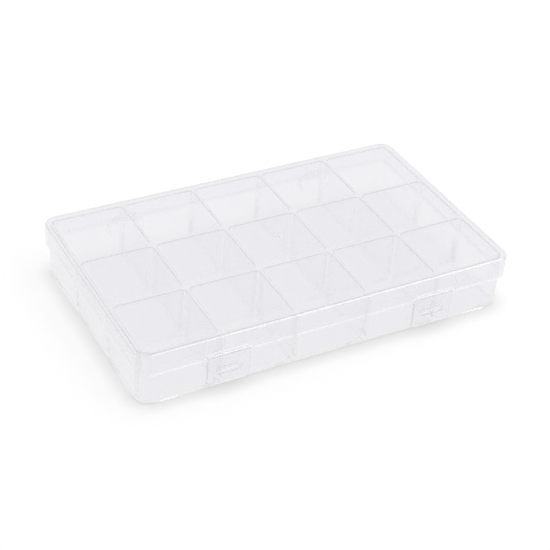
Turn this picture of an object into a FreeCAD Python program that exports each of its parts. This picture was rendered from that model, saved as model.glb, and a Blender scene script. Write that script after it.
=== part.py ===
import FreeCAD, Part
import math
import os

# Clear hinged compartment box, millimetres.
# X runs along the front, -Y is the latch side, +Y is the hinge side, +Z is up.
# The origin lies in the middle of the flat underside of the tray.

# Overall sizes of the closed box
LID_LENGTH = 270.0
LID_WIDTH = 160.0
BOX_HEIGHT = 40.0

# Lid
LID_CORNER_RADIUS = 9.0
LID_TOP_THICKNESS = 1.6
SKIRT_THICKNESS = 1.7
SKIRT_DEPTH = 15.8
LID_EDGE_RADIUS = 1.5
LID_INNER_RADIUS = 0.6
GATE_DIAMETER = 5.0
GATE_DEPTH = 0.4
GATE_NUB_DIAMETER = 1.8
GATE_NUB_HEIGHT = 0.25

# Tray walls
TRAY_CORNER_RADIUS = 9.0
TRAY_DRAFT_DEG = 1.4
TRAY_FOOT_RADIUS = 1.6
SHOULDER_COVER = 1.3
SHOULDER_STEP = 1.0
SHOULDER_RISE = 2.3
WALL_TOP_THICKNESS = 2.4

# Compartments
COLUMNS = 5
ROWS = 3
DIVIDER_TOP_THICKNESS = 2.4
CELL_CORNER_RADIUS = 3.5
CELL_DRAFT_DEG = 1.0
CELL_FLOOR_RADIUS = 1.2
CELL_EDGE_RADIUS = 0.7
MOST_EDGE_SHARE = 0.45
FLOOR_THICKNESS = 1.8

# Latches
LATCH_SPACING = 149.0
FLAP_WIDTH = 29.4
FLAP_THICKNESS = 1.6
FLAP_GROUND_GAP = 3.6
FLAP_CORNER_RADIUS = 3.0
FLAP_EDGE_RADIUS = 0.35
GRIP_LENGTH = 18.0
GRIP_HEIGHT = 5.0
GRIP_DEPTH = 0.7
BOSS_LENGTH = 16.0
BOSS_HEIGHT = 3.4
BOSS_REACH = 0.95
CATCH_LENGTH = 16.0
CATCH_RADIUS = 0.8
EAR_THICKNESS = 1.5
EAR_WALL = 0.95
LATCH_PIN_RADIUS = 0.65
BARREL_WALL = 0.7

# Lid hinge
HINGE_SPACING = 150.0
HINGE_PIN_RADIUS = 1.0
KNUCKLE_WALL = 1.2
LID_KNUCKLE_WIDTH = 16.0
TRAY_KNUCKLE_WIDTH = 4.0
HINGE_DROP = 1.6
KNUCKLE_WEB_HEIGHT = 5.0
TRAY_EAR_TOP_DROP = 0.6
TRAY_EAR_HEIGHT = 8.0
ROOT_DEPTH = 0.8

# Clearances
SKIRT_GAP = 0.3
LID_REST_GAP = 0.2
PIN_CLEARANCE = 0.05
BARREL_WALL_GAP = 0.25
NOTCH_GAP = 0.45
FLAP_SIDE_GAP = 0.25
KNUCKLE_SIDE_GAP = 0.3
KNUCKLE_SKIRT_GAP = 0.2
CATCH_PASS_GAP = 0.15
CATCH_REST_GAP = 0.2

# Heights and half sizes that follow from the values above
LEVEL_TOLERANCE = 1e-4
lid_half_length = LID_LENGTH / 2
lid_half_width = LID_WIDTH / 2
lid_underside = BOX_HEIGHT - LID_TOP_THICKNESS
skirt_bottom = BOX_HEIGHT - SKIRT_DEPTH
skirt_bore_inset = SKIRT_THICKNESS + SKIRT_GAP
tray_top = lid_underside - LID_REST_GAP
tray_half_length = lid_half_length - skirt_bore_inset
tray_half_width = lid_half_width - skirt_bore_inset
shoulder_low = skirt_bottom + SHOULDER_COVER
shoulder_high = shoulder_low + SHOULDER_RISE
tray_taper = math.tan(math.radians(TRAY_DRAFT_DEG))
foot_inset = shoulder_low * tray_taper
inner_half_length = tray_half_length - SHOULDER_STEP - WALL_TOP_THICKNESS
inner_half_width = tray_half_width - SHOULDER_STEP - WALL_TOP_THICKNESS
cell_length = (2 * inner_half_length - (COLUMNS - 1) * DIVIDER_TOP_THICKNESS) / COLUMNS
cell_width = (2 * inner_half_width - (ROWS - 1) * DIVIDER_TOP_THICKNESS) / ROWS
rim_edge_radius = min(CELL_EDGE_RADIUS, MOST_EDGE_SHARE * min(DIVIDER_TOP_THICKNESS, WALL_TOP_THICKNESS))
cell_taper = (tray_top - FLOOR_THICKNESS) * math.tan(math.radians(CELL_DRAFT_DEG))

# Latch pivot: its barrel just clears the tray wall and the pin keeps its wall in the ears
barrel_radius = LATCH_PIN_RADIUS + BARREL_WALL
latch_axis_y = -(tray_half_width + BARREL_WALL_GAP + barrel_radius)
latch_axis_z = skirt_bottom + EAR_WALL + LATCH_PIN_RADIUS
ear_face_y = latch_axis_y - LATCH_PIN_RADIUS - EAR_WALL
ear_inner_x = FLAP_WIDTH / 2 + FLAP_SIDE_GAP
ear_outer_x = ear_inner_x + EAR_THICKNESS
flap_face_y = latch_axis_y - barrel_radius
flap_back_y = flap_face_y + FLAP_THICKNESS
grip_z = (FLAP_GROUND_GAP + latch_axis_z + barrel_radius) / 2 - barrel_radius
boss_tip_y = flap_back_y + BOSS_REACH
catch_z = grip_z + BOSS_HEIGHT / 2 + CATCH_REST_GAP + CATCH_RADIUS

# Hinge pivot: behind the skirt, so that the opened lid lies flat behind the tray
knuckle_radius = HINGE_PIN_RADIUS + KNUCKLE_WALL
hinge_axis_y = lid_half_width + knuckle_radius + KNUCKLE_SKIRT_GAP
hinge_axis_z = skirt_bottom - HINGE_DROP
tray_knuckle_x = LID_KNUCKLE_WIDTH / 2 + KNUCKLE_SIDE_GAP
hinge_pin_half = tray_knuckle_x + TRAY_KNUCKLE_WIDTH

X_AXIS = FreeCAD.Vector(1, 0, 0)
Y_AXIS = FreeCAD.Vector(0, 1, 0)


def rounded_rectangle(half_x, half_y, radius, z, centre_x=0.0, centre_y=0.0):
    """Closed wire of a rectangle with round corners, level at height z."""
    arcs = []
    for sign_x, sign_y, start_deg in ((1, 1, 0), (-1, 1, 90), (-1, -1, 180), (1, -1, 270)):
        corner_x = centre_x + sign_x * (half_x - radius)
        corner_y = centre_y + sign_y * (half_y - radius)
        points = []
        for turn_deg in (0, 45, 90):
            angle = math.radians(start_deg + turn_deg)
            points.append(
                FreeCAD.Vector(corner_x + radius * math.cos(angle), corner_y + radius * math.sin(angle), z)
            )
        arcs.append(points)
    edges = []
    for points, following in zip(arcs, arcs[1:] + arcs[:1]):
        edges.append(Part.Arc(*points).toShape())
        edges.append(Part.makeLine(points[-1], following[0]))
    return Part.Wire(edges)


def level_edges(shape, z):
    """Edges of the shape that lie in the level plane at height z."""
    return [
        edge
        for edge in shape.Edges
        if abs(edge.BoundBox.ZMin - z) < LEVEL_TOLERANCE and abs(edge.BoundBox.ZMax - z) < LEVEL_TOLERANCE
    ]


def x_cylinder(radius, x_from, x_to, y, z):
    """Cylinder along X between two stations."""
    return Part.makeCylinder(radius, x_to - x_from, FreeCAD.Vector(x_from, y, z), X_AXIS)


def box_between(low, high):
    """Box from its lowest corner to its highest corner."""
    size = [top - bottom for bottom, top in zip(low, high)]
    return Part.makeBox(*size, FreeCAD.Vector(*low))


def x_prism(points_yz, x_from, x_to):
    """Prism along X of a polygon given as (y, z) points."""
    corners = [FreeCAD.Vector(x_from, y, z) for y, z in points_yz]
    face = Part.Face(Part.makePolygon(corners + corners[:1]))
    return face.extrude(X_AXIS * (x_to - x_from))


def slot_prism(length, height, y_from, y_to, centre_x, centre_z):
    """Prism along Y of a slot with round ends, long side along X."""
    half_straight = (length - height) / 2
    radius = height / 2
    low_left = FreeCAD.Vector(centre_x - half_straight, y_from, centre_z - radius)
    low_right = FreeCAD.Vector(centre_x + half_straight, y_from, centre_z - radius)
    high_right = FreeCAD.Vector(centre_x + half_straight, y_from, centre_z + radius)
    high_left = FreeCAD.Vector(centre_x - half_straight, y_from, centre_z + radius)
    right_end = FreeCAD.Vector(centre_x + length / 2, y_from, centre_z)
    left_end = FreeCAD.Vector(centre_x - length / 2, y_from, centre_z)
    outline = Part.Wire(
        [
            Part.makeLine(low_left, low_right),
            Part.Arc(low_right, right_end, high_right).toShape(),
            Part.makeLine(high_right, high_left),
            Part.Arc(high_left, left_end, low_left).toShape(),
        ]
    )
    return Part.Face(outline).extrude(Y_AXIS * (y_to - y_from))


def tangent_point(centre_y, centre_z, radius, from_y, from_z, side):
    """Point where a line from outside touches a circle in the YZ plane; side is +1 or -1."""
    away_y = from_y - centre_y
    away_z = from_z - centre_z
    distance = math.hypot(away_y, away_z)
    angle = math.atan2(away_z, away_y) + side * math.acos(radius / distance)
    return centre_y + radius * math.cos(angle), centre_z + radius * math.sin(angle)


def knuckle(x_from, x_to, root_low, root_high):
    """Hinge knuckle with straight flanks from a root on a wall to the barrel, without its bore."""
    low = tangent_point(hinge_axis_y, hinge_axis_z, knuckle_radius, *root_low, 1)
    high = tangent_point(hinge_axis_y, hinge_axis_z, knuckle_radius, *root_high, -1)
    centre = (hinge_axis_y, hinge_axis_z)
    web = x_prism([root_low, low, centre, high, root_high], x_from, x_to)
    return web.fuse(x_cylinder(knuckle_radius, x_from, x_to, hinge_axis_y, hinge_axis_z))


def tray_wall_y(z):
    """Distance from the middle to the outside of the long tray wall, below the shoulder."""
    return tray_half_width - (shoulder_low - z) * tray_taper


def latch_catch(side):
    """Catch rib on the tray's front wall, with a round nose that the flap's boss passes."""
    x_from = side * LATCH_SPACING / 2 - CATCH_LENGTH / 2
    x_to = x_from + CATCH_LENGTH
    nose_y = boss_tip_y + CATCH_PASS_GAP + CATCH_RADIUS
    root_y = max(nose_y + CATCH_RADIUS, ROOT_DEPTH - tray_wall_y(catch_z))
    nose = x_cylinder(CATCH_RADIUS, x_from, x_to, nose_y, catch_z)
    root = box_between((x_from, nose_y, catch_z - CATCH_RADIUS), (x_to, root_y, catch_z + CATCH_RADIUS))
    return nose.fuse(root)


def cell_space(column, row):
    """Space of one compartment: drafted walls, round corners and a round floor edge."""
    centre_x = (column - (COLUMNS - 1) / 2) * (cell_length + DIVIDER_TOP_THICKNESS)
    centre_y = (row - (ROWS - 1) / 2) * (cell_width + DIVIDER_TOP_THICKNESS)
    top = rounded_rectangle(
        cell_length / 2, cell_width / 2, CELL_CORNER_RADIUS, tray_top, centre_x, centre_y
    )
    floor = rounded_rectangle(
        cell_length / 2 - cell_taper,
        cell_width / 2 - cell_taper,
        CELL_CORNER_RADIUS - cell_taper,
        FLOOR_THICKNESS,
        centre_x,
        centre_y,
    )
    space = Part.makeLoft([floor, top], True, True)
    return space.makeFillet(CELL_FLOOR_RADIUS, level_edges(space, FLOOR_THICKNESS))


def make_base_tray():
    """Tray in one moulding: walls, dividers, latch catches and hinge knuckles."""
    sections = []
    for inset, z in (
        (foot_inset, 0.0),
        (0.0, shoulder_low),
        (SHOULDER_STEP, shoulder_high),
        (SHOULDER_STEP, tray_top),
    ):
        sections.append(
            rounded_rectangle(
                tray_half_length - inset, tray_half_width - inset, TRAY_CORNER_RADIUS - inset, z
            )
        )
    tray = Part.makeLoft(sections, True, True)
    tray = tray.makeFillet(TRAY_FOOT_RADIUS, level_edges(tray, 0.0))
    cells = [cell_space(column, row) for column in range(COLUMNS) for row in range(ROWS)]
    tray = tray.cut(Part.makeCompound(cells))
    tray = tray.makeFillet(rim_edge_radius, level_edges(tray, tray_top))

    additions = [latch_catch(side) for side in (-1, 1)]
    ear_top_z = hinge_axis_z - TRAY_EAR_TOP_DROP
    ear_low_z = ear_top_z - TRAY_EAR_HEIGHT
    for side in (-1, 1):
        for end in (-1, 1):
            inner_x = side * HINGE_SPACING / 2 + end * tray_knuckle_x
            outer_x = side * HINGE_SPACING / 2 + end * hinge_pin_half
            root_low_y = tray_wall_y(ear_low_z) - ROOT_DEPTH
            root_high_y = tray_wall_y(ear_top_z) - ROOT_DEPTH
            additions.append(
                knuckle(
                    min(inner_x, outer_x),
                    max(inner_x, outer_x),
                    (root_low_y, ear_low_z),
                    (root_high_y, ear_top_z),
                )
            )
    tray = tray.fuse(additions)
    bores = [
        x_cylinder(
            HINGE_PIN_RADIUS,
            side * HINGE_SPACING / 2 - hinge_pin_half,
            side * HINGE_SPACING / 2 + hinge_pin_half,
            hinge_axis_y,
            hinge_axis_z,
        )
        for side in (-1, 1)
    ]
    return tray.cut(Part.makeCompound(bores)).removeSplitter()


def make_lid():
    """Lid: flat top, skirt, latch ears and the middle knuckles of the hinge."""
    outer = Part.Face(
        rounded_rectangle(lid_half_length, lid_half_width, LID_CORNER_RADIUS, skirt_bottom)
    ).extrude(FreeCAD.Vector(0, 0, SKIRT_DEPTH))
    outer = outer.makeFillet(LID_EDGE_RADIUS, level_edges(outer, BOX_HEIGHT))
    hollow = Part.Face(
        rounded_rectangle(
            lid_half_length - SKIRT_THICKNESS,
            lid_half_width - SKIRT_THICKNESS,
            LID_CORNER_RADIUS - SKIRT_THICKNESS,
            skirt_bottom,
        )
    ).extrude(FreeCAD.Vector(0, 0, SKIRT_DEPTH - LID_TOP_THICKNESS))
    hollow = hollow.makeFillet(LID_INNER_RADIUS, level_edges(hollow, lid_underside))
    lid = outer.cut(hollow)

    additions = []
    cuts = []
    skirt_face_y = -lid_half_width
    notch_top = latch_axis_z + barrel_radius + NOTCH_GAP
    for side in (-1, 1):
        latch_x = side * LATCH_SPACING / 2
        for end in (-1, 1):
            near_x = latch_x + end * ear_inner_x
            far_x = latch_x + end * ear_outer_x
            ear = box_between(
                (min(near_x, far_x), ear_face_y, skirt_bottom),
                (max(near_x, far_x), skirt_face_y + SKIRT_THICKNESS / 2, BOX_HEIGHT - LID_EDGE_RADIUS),
            )
            additions.append(ear)
        cuts.append(
            box_between(
                (latch_x - ear_inner_x, ear_face_y, skirt_bottom),
                (latch_x + ear_inner_x, skirt_face_y + SKIRT_THICKNESS, notch_top),
            )
        )
        cuts.append(
            x_cylinder(
                LATCH_PIN_RADIUS, latch_x - ear_outer_x, latch_x + ear_outer_x, latch_axis_y, latch_axis_z
            )
        )
        hinge_x = side * HINGE_SPACING / 2
        root_y = lid_half_width - ROOT_DEPTH
        additions.append(
            knuckle(
                hinge_x - LID_KNUCKLE_WIDTH / 2,
                hinge_x + LID_KNUCKLE_WIDTH / 2,
                (root_y, skirt_bottom),
                (root_y, skirt_bottom + KNUCKLE_WEB_HEIGHT),
            )
        )
        cuts.append(
            x_cylinder(
                HINGE_PIN_RADIUS + PIN_CLEARANCE,
                hinge_x - LID_KNUCKLE_WIDTH / 2,
                hinge_x + LID_KNUCKLE_WIDTH / 2,
                hinge_axis_y,
                hinge_axis_z,
            )
        )
    lid = lid.fuse(additions)

    gate_floor = FreeCAD.Vector(0, 0, BOX_HEIGHT - GATE_DEPTH)
    gate = Part.makeCylinder(GATE_DIAMETER / 2, GATE_DEPTH, gate_floor)
    cuts.append(gate.cut(Part.makeCylinder(GATE_NUB_DIAMETER / 2, GATE_NUB_HEIGHT, gate_floor)))
    return lid.cut(Part.makeCompound(cuts)).removeSplitter()


def make_latch(side):
    """Latch flap: pivot barrel, plate with a grip recess in front and a catch boss behind."""
    latch_x = side * LATCH_SPACING / 2
    half_width = FLAP_WIDTH / 2
    plate = box_between(
        (latch_x - half_width, flap_face_y, FLAP_GROUND_GAP),
        (latch_x + half_width, flap_back_y, latch_axis_z),
    )
    lower_corners = [
        edge
        for edge in plate.Edges
        if edge.BoundBox.YLength > FLAP_THICKNESS / 2 and edge.BoundBox.ZMax < latch_axis_z / 2
    ]
    plate = plate.makeFillet(FLAP_CORNER_RADIUS, lower_corners)
    front_edges = [edge for edge in plate.Edges if edge.BoundBox.YMax < flap_face_y + LEVEL_TOLERANCE]
    front_rim = [edge for edge in front_edges if edge.BoundBox.ZMin < latch_axis_z - LEVEL_TOLERANCE]
    plate = plate.makeFillet(FLAP_EDGE_RADIUS, front_rim)
    grip = slot_prism(GRIP_LENGTH, GRIP_HEIGHT, flap_face_y, flap_face_y + GRIP_DEPTH, latch_x, grip_z)
    boss = slot_prism(BOSS_LENGTH, BOSS_HEIGHT, flap_back_y - GRIP_DEPTH / 2, boss_tip_y, latch_x, grip_z)
    barrel = x_cylinder(
        barrel_radius, latch_x - half_width, latch_x + half_width, latch_axis_y, latch_axis_z
    )
    bore = x_cylinder(
        LATCH_PIN_RADIUS + PIN_CLEARANCE,
        latch_x - half_width,
        latch_x + half_width,
        latch_axis_y,
        latch_axis_z,
    )
    return plate.fuse([boss, barrel]).cut(Part.makeCompound([grip, bore])).removeSplitter()


def make_latch_pin(side):
    """Pin pressed into the two ears of a latch."""
    latch_x = side * LATCH_SPACING / 2
    return x_cylinder(
        LATCH_PIN_RADIUS, latch_x - ear_outer_x, latch_x + ear_outer_x, latch_axis_y, latch_axis_z
    )


def make_hinge_pin(side):
    """Pin pressed into the two tray knuckles of a hinge."""
    hinge_x = side * HINGE_SPACING / 2
    return x_cylinder(
        HINGE_PIN_RADIUS, hinge_x - hinge_pin_half, hinge_x + hinge_pin_half, hinge_axis_y, hinge_axis_z
    )


def main():
    """Build every piece and write one file for each."""
    pieces = {
        "base_tray": make_base_tray(),
        "lid": make_lid(),
        "latch_left": make_latch(-1),
        "latch_right": make_latch(1),
        "latch_pin_left": make_latch_pin(-1),
        "latch_pin_right": make_latch_pin(1),
        "hinge_pin_left": make_hinge_pin(-1),
        "hinge_pin_right": make_hinge_pin(1),
    }
    os.makedirs("parts", exist_ok=True)
    for name, shape in pieces.items():
        shape.exportStep(f"parts/{name}.step")
        print(name, len(shape.Solids), "solid, valid", shape.isValid(), "volume", round(shape.Volume, 1))


main()
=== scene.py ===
"""Looks of a clear hinged compartment box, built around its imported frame."""

from __future__ import annotations

import logging
import math
from dataclasses import dataclass, field
from enum import Enum
from typing import Callable, Iterable

import bmesh
import bpy
from mathutils import Matrix, Vector

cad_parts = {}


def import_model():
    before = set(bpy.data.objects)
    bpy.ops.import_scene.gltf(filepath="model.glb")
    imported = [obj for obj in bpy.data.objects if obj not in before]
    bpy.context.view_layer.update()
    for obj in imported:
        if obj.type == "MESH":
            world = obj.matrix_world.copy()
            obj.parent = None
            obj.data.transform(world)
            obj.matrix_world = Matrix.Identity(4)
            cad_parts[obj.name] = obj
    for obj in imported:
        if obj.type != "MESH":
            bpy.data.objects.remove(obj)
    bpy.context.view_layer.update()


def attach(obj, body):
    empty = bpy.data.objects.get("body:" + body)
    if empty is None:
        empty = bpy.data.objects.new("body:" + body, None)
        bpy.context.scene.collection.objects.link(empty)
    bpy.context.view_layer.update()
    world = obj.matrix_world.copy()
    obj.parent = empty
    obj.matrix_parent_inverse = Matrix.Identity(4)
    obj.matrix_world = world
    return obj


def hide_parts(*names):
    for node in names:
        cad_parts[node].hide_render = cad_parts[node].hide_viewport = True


LOG = logging.getLogger("compartment_box")

# Sizes of the mouldings are in millimetres, those of the finishes and the studio in metres.
MM = 0.001
ON_LEVEL = 1e-3
MERGE_GAP = 1e-4
CUT_OVER = 1.0
PILL_SHARE = 0.4995
FLAT_ANGLE_DEG = 0.5
CRISP_ANGLE_DEG = 45.0
SMOOTH_ANGLE_DEG = 38.0


class Side(Enum):
    """Which end of the front a paired piece belongs to."""

    LEFT = -1
    RIGHT = 1

    @property
    def word(self) -> str:
        """Name of the side in lower case."""
        return self.name.lower()


class Joining(Enum):
    """How a tool solid changes a moulding."""

    ADD = "UNION"
    CUT = "DIFFERENCE"


class Mould:
    """A mesh in the making, in millimetres, with the shaping steps that the pieces share."""

    def __init__(self) -> None:
        """Start with no geometry."""
        self.bm: bmesh.types.BMesh = bmesh.new()

    def block(self, low: Vector, high: Vector) -> list[bmesh.types.BMVert]:
        """Add a box between two corners.

        Args:
            low: Lowest corner.
            high: Highest corner.

        Returns:
            The eight new vertices.
        """
        place = Matrix.Translation((low + high) / 2) @ Matrix.Diagonal((*(high - low), 1.0))
        return bmesh.ops.create_cube(self.bm, size=1.0, matrix=place)["verts"]

    def round_edges(self, edges: Iterable[bmesh.types.BMEdge], radius: float, segments: int) -> None:
        """Round edges with a bevel.

        Args:
            edges: Edges to round.
            radius: Radius of the round.
            segments: Number of facets across the round.
        """
        bmesh.ops.bevel(
            self.bm,
            geom=list(edges),
            offset=radius,
            offset_type="OFFSET",
            segments=segments,
            profile=0.5,
            affect="EDGES",
            clamp_overlap=False,
            material=-1,
        )

    def edges_where(self, test: Callable[[Vector, Vector], bool]) -> list[bmesh.types.BMEdge]:
        """Pick edges by where their ends lie.

        Args:
            test: Says for two end points whether the edge is wanted.

        Returns:
            The edges that pass.
        """
        return [edge for edge in self.bm.edges if test(edge.verts[0].co, edge.verts[1].co)]

    def level_edges(self, z: float) -> list[bmesh.types.BMEdge]:
        """Edges that lie level at height z."""
        return self.edges_where(lambda a, b: abs(a.z - z) < ON_LEVEL and abs(b.z - z) < ON_LEVEL)

    def level_faces(self, z: float) -> list[bmesh.types.BMFace]:
        """Faces that lie level at height z."""
        return [f for f in self.bm.faces if all(abs(v.co.z - z) < ON_LEVEL for v in f.verts)]

    def rounded_block(
        self, half_x: float, half_y: float, low_z: float, high_z: float, radius: float, segments: int
    ) -> None:
        """Add a box about the Z axis with round upright edges.

        Args:
            half_x: Half the length.
            half_y: Half the width.
            low_z: Height of the underside.
            high_z: Height of the top.
            radius: Radius of the upright edges.
            segments: Number of facets on each corner.
        """
        corners = self.block(Vector((-half_x, -half_y, low_z)), Vector((half_x, half_y, high_z)))
        edges = self.edges_at(corners)
        upright = [e for e in edges if abs(e.verts[0].co.z - e.verts[1].co.z) > ON_LEVEL]
        self.round_edges(upright, radius, segments)

    def rod(self, radius: float, x_from: float, x_to: float, y: float, z: float, segments: int) -> None:
        """Add a round bar along X.

        Args:
            radius: Radius of the bar.
            x_from: First end.
            x_to: Second end.
            y: Place of the axis across the box.
            z: Height of the axis.
            segments: Number of sides.
        """
        place = Matrix.Translation(((x_from + x_to) / 2, y, z)) @ Matrix.Rotation(math.pi / 2, 4, "Y")
        bmesh.ops.create_cone(
            self.bm,
            cap_ends=True,
            segments=segments,
            radius1=radius,
            radius2=radius,
            depth=abs(x_to - x_from),
            matrix=place,
        )

    def pill(
        self, length: float, height: float, y_from: float, y_to: float, x: float, z: float, segments: int
    ) -> None:
        """Add a bar across Y whose outline is a slot with round ends.

        Args:
            length: Length of the slot along X.
            height: Height of the slot.
            y_from: Front of the bar.
            y_to: Back of the bar.
            x: Middle of the slot.
            z: Height of the slot's middle.
            segments: Number of facets on each quarter round.
        """
        corners = self.block(
            Vector((x - length / 2, y_from, z - height / 2)),
            Vector((x + length / 2, y_to, z + height / 2)),
        )
        edges = self.edges_at(corners)
        across = [e for e in edges if abs(e.verts[0].co.y - e.verts[1].co.y) > ON_LEVEL]
        self.round_edges(across, height * PILL_SHARE, segments)

    def pull_edges(self, edges: Iterable[bmesh.types.BMEdge]) -> list[bmesh.types.BMVert]:
        """Extrude edges in place.

        Args:
            edges: Edges to extrude.

        Returns:
            The new vertices, still on top of the old ones.
        """
        made = bmesh.ops.extrude_edge_only(self.bm, edges=list(edges))["geom"]
        return [item for item in made if isinstance(item, bmesh.types.BMVert)]

    def edges_between(self, verts: Iterable[bmesh.types.BMVert]) -> list[bmesh.types.BMEdge]:
        """Edges whose two ends are both among some vertices.

        Args:
            verts: The vertices to look among.

        Returns:
            The edges that join them.
        """
        chosen = dict.fromkeys(verts)
        found = self.edges_at(chosen)
        return [edge for edge in found if edge.verts[0] in chosen and edge.verts[1] in chosen]

    @staticmethod
    def edges_at(verts: Iterable[bmesh.types.BMVert]) -> list[bmesh.types.BMEdge]:
        """Edges that meet at some vertices, each once and in the same order every run."""
        return list(dict.fromkeys(edge for vert in verts for edge in vert.link_edges))

    def hull(self, points: Iterable[Vector]) -> None:
        """Add the convex solid round some points.

        Args:
            points: The points to wrap.
        """
        verts = [self.bm.verts.new(point) for point in points]
        made = bmesh.ops.convex_hull(self.bm, input=verts)
        spare = [v for v in made["geom_interior"] if isinstance(v, bmesh.types.BMVert)]
        bmesh.ops.delete(self.bm, geom=spare, context="VERTS")
        flat = math.radians(FLAT_ANGLE_DEG)
        verts = [v for v in verts if v.is_valid]
        edges = self.edges_at(verts)
        bmesh.ops.dissolve_limit(self.bm, angle_limit=flat, verts=verts, edges=edges)

    def rib(
        self,
        ends: tuple[float, float],
        axis: tuple[float, float],
        radius: float,
        sides: int,
        roots: list[tuple[float, float]],
    ) -> None:
        """Add a bar along X with a round nose and straight flanks to its roots on a wall.

        Args:
            ends: Where the bar starts and ends.
            axis: Middle of the nose as (y, z).
            radius: Radius of the nose.
            sides: Number of points round the nose.
            roots: Points of the wall side as (y, z).
        """
        points = []
        for x in ends:
            for count in range(sides):
                angle = 2 * math.pi * count / sides
                y = axis[0] + radius * math.cos(angle)
                z = axis[1] + radius * math.sin(angle)
                points.append(Vector((x, y, z)))
            points.extend(Vector((x, y, z)) for y, z in roots)
        self.hull(points)

    def take(self, other: Mould) -> None:
        """Move another mould's mesh into this one.

        Args:
            other: The mould to empty.
        """
        mesh = bpy.data.meshes.new("passed_on")
        other.bm.to_mesh(mesh)
        other.bm.free()
        self.bm.from_mesh(mesh)
        bpy.data.meshes.remove(mesh)

    def tidy(self) -> None:
        """Merge doubled points, drop slivers and turn all faces outwards."""
        bmesh.ops.remove_doubles(self.bm, verts=self.bm.verts, dist=MERGE_GAP)
        bmesh.ops.dissolve_degenerate(self.bm, edges=self.bm.edges, dist=MERGE_GAP)
        bmesh.ops.recalc_face_normals(self.bm, faces=self.bm.faces)

    def to_object(self, name: str) -> bpy.types.Object:
        """Make an object of the mesh, still in millimetres.

        Args:
            name: Name of the object.

        Returns:
            The linked object.
        """
        self.tidy()
        mesh = bpy.data.meshes.new(name)
        self.bm.to_mesh(mesh)
        self.bm.free()
        made = bpy.data.objects.new(name, mesh)
        bpy.context.scene.collection.objects.link(made)
        return made


def join_solids(target: bpy.types.Object, tool: Mould, joining: Joining) -> None:
    """Add solids to a moulding or cut them out of it.

    Args:
        target: The moulding, in millimetres.
        tool: The solids to add or to cut.
        joining: Which of the two to do.
    """
    helper = tool.to_object("joining_tool")
    change = target.modifiers.new("joining", "BOOLEAN")
    change.operation = joining.value
    change.solver = "EXACT"
    change.object = helper
    bpy.context.view_layer.update()
    shaped = target.evaluated_get(bpy.context.evaluated_depsgraph_get())
    mesh = bpy.data.meshes.new_from_object(shaped)
    target.modifiers.clear()
    target.data = mesh
    bpy.data.objects.remove(helper)


def finish_piece(piece: bpy.types.Object) -> None:
    """Bring a moulding to metres and give it crisp flats and smooth rounds.

    Args:
        piece: The moulding, in millimetres.
    """
    shape = bmesh.new()
    shape.from_mesh(piece.data)
    bmesh.ops.remove_doubles(shape, verts=shape.verts, dist=MERGE_GAP)
    bmesh.ops.dissolve_degenerate(shape, edges=shape.edges, dist=MERGE_GAP)
    bmesh.ops.scale(shape, vec=(MM, MM, MM), verts=shape.verts)
    shape.to_mesh(piece.data)
    shape.free()
    piece.data.shade_smooth()
    piece.data.set_sharp_from_angle(angle=math.radians(SMOOTH_ANGLE_DEG))
    crisp = piece.modifiers.new("crisp_flats", "WEIGHTED_NORMAL")
    crisp.keep_sharp = True


class NodeBench:
    """Short ways to add and link nodes in one node tree."""

    def __init__(self, tree: bpy.types.NodeTree) -> None:
        """Work on a tree.

        Args:
            tree: The node tree to fill.
        """
        self.tree = tree

    def add(self, kind: str, **settings: object) -> bpy.types.Node:
        """Add a node and set its properties.

        Args:
            kind: Type name of the node.
            **settings: Properties of the node.

        Returns:
            The new node.
        """
        node = self.tree.nodes.new(kind)
        for key, value in settings.items():
            setattr(node, key, value)
        return node

    def link(self, source: bpy.types.NodeSocket, target: bpy.types.NodeSocket) -> None:
        """Link an output to an input."""
        self.tree.links.new(source, target)

    def math(self, operation: str, first: object, second: object) -> bpy.types.NodeSocket:
        """Add a Math node.

        Args:
            operation: What it does.
            first: A socket or a number.
            second: A socket or a number.

        Returns:
            The node's output.
        """
        node = self.add("ShaderNodeMath", operation=operation)
        for socket, value in zip(node.inputs, (first, second)):
            if isinstance(value, bpy.types.NodeSocket):
                self.link(value, socket)
            else:
                socket.default_value = value
        return node.outputs[0]

    def ramp(self, value: bpy.types.NodeSocket, span: tuple[float, float]) -> bpy.types.NodeSocket:
        """Rise smoothly from nothing to one.

        Args:
            value: The value to judge.
            span: Where the rise starts and where it ends.

        Returns:
            The risen value.
        """
        node = self.add("ShaderNodeMapRange", clamp=True, interpolation_type="SMOOTHSTEP")
        node.inputs["From Min"].default_value, node.inputs["From Max"].default_value = span
        self.link(value, node.inputs["Value"])
        return node.outputs["Result"]


@dataclass(frozen=True)
class MouldMarks:
    """Scale and strength of the marks that moulding and handling leave."""

    flow_scale: float = 38.0
    flow_detail: float = 2.0
    flow_roughness: float = 0.35
    hair_scale: tuple[float, float, float] = (70.0, 1400.0, 900.0)
    hair_turn: tuple[float, float, float] = (0.0, 0.0, 0.35)
    hair_detail: float = 3.0
    hair_span: tuple[float, float] = (0.66, 0.78)
    scratch_dull: float = 0.12
    scratch_depth: float = 0.05


MARKS = MouldMarks()


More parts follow.
